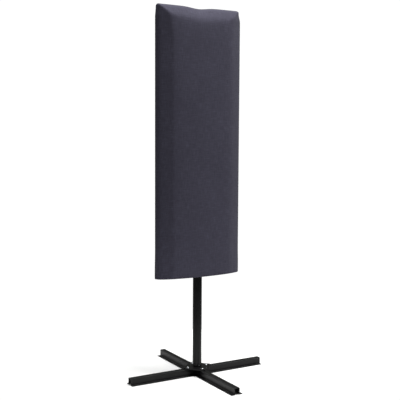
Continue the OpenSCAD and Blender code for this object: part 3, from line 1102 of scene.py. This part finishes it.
    def seam_roll(self, border: np.ndarray, side: Side) -> np.ndarray:
        """Rolls the cloth in along the seam until it meets the other half.

        Formula: a quarter circle from each point of the border, square to the border.

        Args:
            border: points along the seam, n by 3.
            side: the face that they belong to.

        Returns:
            Rings of points from the border inwards, rings by n by 3.
        """
        radius = self.form.roll
        ahead = np.gradient(border[:, [0, 2]], axis=0)
        ahead /= np.linalg.norm(ahead, axis=1, keepdims=True)
        inward = np.stack([ahead[:, 1], -ahead[:, 0]], axis=1)
        turns = np.linspace(math.pi / 2, 0, self.roll_rings + 1)[1:, None, None]
        rings = np.repeat(border[None], self.roll_rings, axis=0)
        rings[..., [0, 2]] += inward * radius * (1 - np.sin(turns))
        rings[..., 1] = side.value * radius * (1 - np.cos(turns[..., 0]))
        return rings

    @staticmethod
    def cut_flat(points: np.ndarray) -> np.ndarray:
        """Lays a grid of points out flat, as the cloth was cut.

        Formula: the length along each row from its middle, and the length up the middle column.

        Args:
            points: rows by columns by 3.

        Returns:
            Places on the cloth in metres, n by 2.
        """
        middle = points.shape[1] // 2
        across = np.cumsum(np.linalg.norm(np.diff(points, axis=1), axis=-1), axis=1)
        across = np.pad(across, ((0, 0), (1, 0)))
        up = np.cumsum(np.linalg.norm(np.diff(points[:, middle], axis=0), axis=-1))
        up = np.broadcast_to(np.pad(up, (1, 0))[:, None], across.shape)
        return np.stack([across - across[:, [middle]], up], axis=-1).reshape(-1, 2)

    def half(self, side: Side) -> bpy.types.Object:
        """Makes one half of the cover as a single shell: turned-in edge, face and rolled seam.

        Args:
            side: the face to make.

        Returns:
            The piece.
        """
        body = np.concatenate([self.turned_under(side), self.face(side)[1:]])
        index = np.arange(body[..., 0].size).reshape(body.shape[:2])
        edge = np.concatenate([index[:, 0], index[-1, 1:-1], index[::-1, -1]])
        rings = self.seam_roll(body.reshape(-1, 3)[edge], side)
        numbers = index.size + np.arange(rings[..., 0].size).reshape(rings.shape[:2])
        strip = grid_quads(np.concatenate([edge[None], numbers]))
        quads = np.concatenate([grid_quads(index), strip[:, ::-1]])
        flat = self.cut_flat(body)
        piece = make_mesh(
            f"cover_{side.name.lower()}_cloth",
            np.concatenate([body.reshape(-1, 3), rings.reshape(-1, 3)]),
            quads if side is Side.FRONT else quads[:, ::-1],
            np.concatenate([flat, np.tile(flat[edge], (self.roll_rings, 1))]),
        )
        thick = piece.modifiers.new("cloth", "SOLIDIFY")
        thick.thickness = self.cloth
        thick.offset = -1
        thick.use_even_offset = False
        return piece

    def hem(self) -> bpy.types.Object:
        """Makes the hem: a band that lies under the board, gathered towards its inner edge.

        Formula: rings of the level cut at growing insets; each ring's height waves by up to a third
        of a millimetre, more at the inner edge. The waves on the rear side are taken from farther
        along, so that the two sides differ.

        Returns:
            The piece.
        """
        shape = self.form
        across = np.linspace(-1, 1, self.hem_columns + 1)
        rings = []
        for share in np.linspace(0, 1, self.hem_rings):
            inset = self.hem_roll + share * (self.hem_width - self.hem_roll)
            x, y = shape.section(across, inset)
            x, y = np.concatenate([x, x[-2:0:-1]]), np.concatenate([-y, y[-2:0:-1]])
            wave = self.puckers(x + self.hem_shift * np.sign(y), self.hem_seed) * self.hem_wave * share
            rings.append(np.stack([x, y, shape.bottom - self.hem_drop + np.abs(wave)], axis=-1))
        points = np.stack(rings)
        index = np.arange(points[..., 0].size).reshape(points.shape[:2])
        quads = grid_quads(index, closed=True)[:, ::-1]
        piece = make_mesh("cover_hem_cloth", points, quads, points[..., :2])
        thick = piece.modifiers.new("cloth", "SOLIDIFY")
        thick.thickness = self.cloth * self.hem_pressed
        thick.offset = -1
        return piece

    def hollow(self, x: np.ndarray, z: np.ndarray) -> np.ndarray:
        """Half depth of the room that the foams leave for the frame and the socket.

        Formula: the timber's half depth inside the frame's outline and a slight parting outside it,
        a half circle round the tube up to its top, and the flange's half depth at its level.

        Args:
            x: X of each point.
            z: height of each point.

        Returns:
            Half depths, in metres.
        """
        framed = (np.abs(x) < self.timber_reach[0]) & (z < self.timber_reach[1])
        back = np.where(framed, self.timber_half, self.foam_parting)
        tube = np.sqrt(np.clip(self.socket_radius**2 - x**2, 0, None))
        back = np.where(z < self.socket_top, np.maximum(back, tube), back)
        flange = (np.abs(x) < self.flange_half[0]) & (z <= self.flange_top)
        return np.where(flange, self.flange_half[1], back)

    def foam(self, side: Side) -> bpy.types.Object:
        """Makes one foam: the crowned form drawn in, with its back hollowed for frame and socket.

        Args:
            side: the face to make.

        Returns:
            The piece.
        """
        shape, gap = self.form, self.foam_gap
        rows = shape.heights(gap, self.foam_rows, self.foam_pitch)
        foot = [*self.foam_foot, self.flange_top, self.flange_top + self.flange_step]
        rows = np.concatenate([foot, rows[rows > self.foam_even]])
        z0, across = np.meshgrid(rows, np.linspace(-1, 1, self.foam_columns + 1), indexing="ij")
        x0 = (shape.half_width - gap) * np.sin(math.pi / 2 * across)
        x, z = shape.plan(x0, z0, gap)
        back = self.hollow(x0, z0)
        crown = np.maximum(shape.surface(x0, z0, gap), back + self.foam_thinnest)
        points = np.stack([np.stack([x, side.value * y, z], axis=-1) for y in (crown, back)])
        outer, inner = np.arange(points[..., 0].size).reshape(points.shape[:3])
        loops = [
            np.concatenate([index[:, 0], index[-1, 1:-1], index[::-1, -1], index[0, -2:0:-1]])
            for index in (outer, inner)
        ]
        rim = grid_quads(np.stack(loops), closed=True)
        quads = np.concatenate([grid_quads(outer), grid_quads(inner)[:, ::-1], rim[:, ::-1]])
        if side is Side.REAR:
            quads = quads[:, ::-1]
        return make_mesh(f"foam_{side.name.lower()}_block", points, quads)

    def build(self) -> None:
        """Makes the soft pieces, dresses them and ties them to the panel."""
        cloth = self.fabric.material()
        foam = OpenCellFoam("cut_open_cell_foam").material()
        made = []
        for side in Side:
            made.append((self.half(side), f"cover_{side.name.lower()}", "cover", cloth, self.fill))
            made.append((self.foam(side), f"foam_{side.name.lower()}", "foam", foam, self.fill))
        made.append((self.hem(), "cover_hem", "cover", cloth, None))
        for piece, node, slot, material, fill in made:
            piece.data.materials.append(material)
            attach(piece, "panel")
            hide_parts(node)
            LOG.info("%s stands for %s: %d corners", piece.name, node, len(piece.data.vertices))


# ---- Studio ----


@dataclass
class SoftLight:
    """One rectangular soft light."""

    name: str
    place: tuple[float, float, float]
    aim: tuple[float, float, float]
    size: tuple[float, float]
    power: float

    def build(self) -> None:
        """Adds the light and turns it to its aim."""
        data = bpy.data.lights.new(self.name, "AREA")
        data.shape = "RECTANGLE"
        data.size, data.size_y = self.size
        data.energy = self.power
        lamp = bpy.data.objects.new(self.name, data)
        lamp.location = self.place
        towards = Vector(self.aim) - Vector(self.place)
        lamp.rotation_euler = towards.to_track_quat("-Z", "Y").to_euler()
        bpy.context.scene.collection.objects.link(lamp)
        LOG.info("light %s, %.0f W", self.name, self.power)


@dataclass
class Studio:
    """The pale floor, the soft lights and the camera."""

    floor_radius: float = 0.95
    floor_centre: float = 2 * MM
    floor_rings: int = 12
    floor_sides: int = 96
    floor_drop: float = 0.4 * MM
    backdrop: str = "ffffff"
    backdrop_strength: float = 1.05
    ambient: str = "f4f7ec"
    ambient_strength: float = 0.13
    lights: tuple[SoftLight, ...] = (
        SoftLight("overhead", (1.3, -1.0, 8.5), (0.0, 0.0, 0.6), (5.0, 5.0), 1050.0),
        SoftLight("front_right", (2.9, -2.5, 3.6), (0.0, 0.0, 1.8), (1.6, 1.6), 96.0),
        SoftLight("left", (-4.0, 0.2, 2.2), (0.0, 0.0, 1.4), (2.0, 2.0), 22.0),
        SoftLight("rear", (-1.4, 3.8, 2.6), (0.0, 0.0, 1.2), (2.4, 2.4), 45.0),
    )
    camera_place: tuple[float, float, float] = (-2.1187, -3.66108, 1.32934)
    yaw: float = 0.527381
    pitch: float = 0.0915758
    tilt: float = 0.00517944
    lens: float = 72.2116
    sensor: float = 36.0
    clip: tuple[float, float] = (0.05, 100.0)

    def floor(self) -> None:
        """Lays the floor as a disc: rings of growing radius, just under the object."""
        turn = np.linspace(0, 2 * math.pi, self.floor_sides, endpoint=False)
        radius = np.linspace(self.floor_centre, self.floor_radius, self.floor_rings)[:, None]
        x, y = radius * np.cos(turn), radius * np.sin(turn)
        points = np.stack([x, y, np.full_like(x, -self.floor_drop)], axis=-1)
        index = np.arange(x.size).reshape(x.shape)
        piece = make_mesh("studio_floor", points, grid_quads(index, closed=True)[:, ::-1])
        piece.data.materials.append(StudioFloor("matt_white_floor").material())

    def surroundings(self) -> None:
        """Sets a white background that gives only a little light itself."""
        world = bpy.data.worlds.new("studio")
        bpy.context.scene.world = world
        world.use_nodes = True
        tree = world.node_tree
        tree.nodes.clear()
        seen, fill = (
            add_node(tree, "ShaderNodeBackground", Color=linear(code), Strength=strength)
            for code, strength in (
                (self.backdrop, self.backdrop_strength), (self.ambient, self.ambient_strength),
            )
        )
        path = add_node(tree, "ShaderNodeLightPath")
        mixed = add_node(
            tree, "ShaderNodeMixShader", Fac=path.outputs["Is Camera Ray"],
            i1=fill, i2=seen,
        )
        add_node(tree, "ShaderNodeOutputWorld", Surface=mixed)

    def camera(self) -> None:
        """Places the camera from its yaw to the right of +Y, its pitch down and its tilt."""
        level = math.cos(self.pitch)
        ahead = Vector((math.sin(self.yaw) * level, math.cos(self.yaw) * level, -math.sin(self.pitch)))
        right = Vector((math.cos(self.yaw), -math.sin(self.yaw), 0.0))
        up = right.cross(ahead)
        c, s = math.cos(self.tilt), math.sin(self.tilt)
        right, up = c * right + s * up, c * up - s * right
        data = bpy.data.cameras.new("camera")
        data.lens = self.lens
        data.sensor_width = self.sensor
        data.clip_start, data.clip_end = self.clip
        camera = bpy.data.objects.new("camera", data)
        turned = Matrix((right, up, -ahead)).transposed().to_4x4()
        camera.matrix_world = Matrix.Translation(self.camera_place) @ turned
        bpy.context.scene.collection.objects.link(camera)
        bpy.context.scene.camera = camera

    def build(self) -> None:
        """Builds the floor, the background, the lights and the camera."""
        self.floor()
        self.surroundings()
        for light in self.lights:
            light.build()
        self.camera()
        bpy.context.scene.view_settings.view_transform = "Standard"


def main() -> None:
    """Builds each sub-assembly in order."""
    logging.basicConfig(level=logging.INFO, format="%(message)s")
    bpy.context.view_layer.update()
    for part in (SteelStand(), PanelFrame(), Upholstery(), Studio()):
        part.build()
    bpy.context.view_layer.update()


if __name__ == "__main__":
    main()
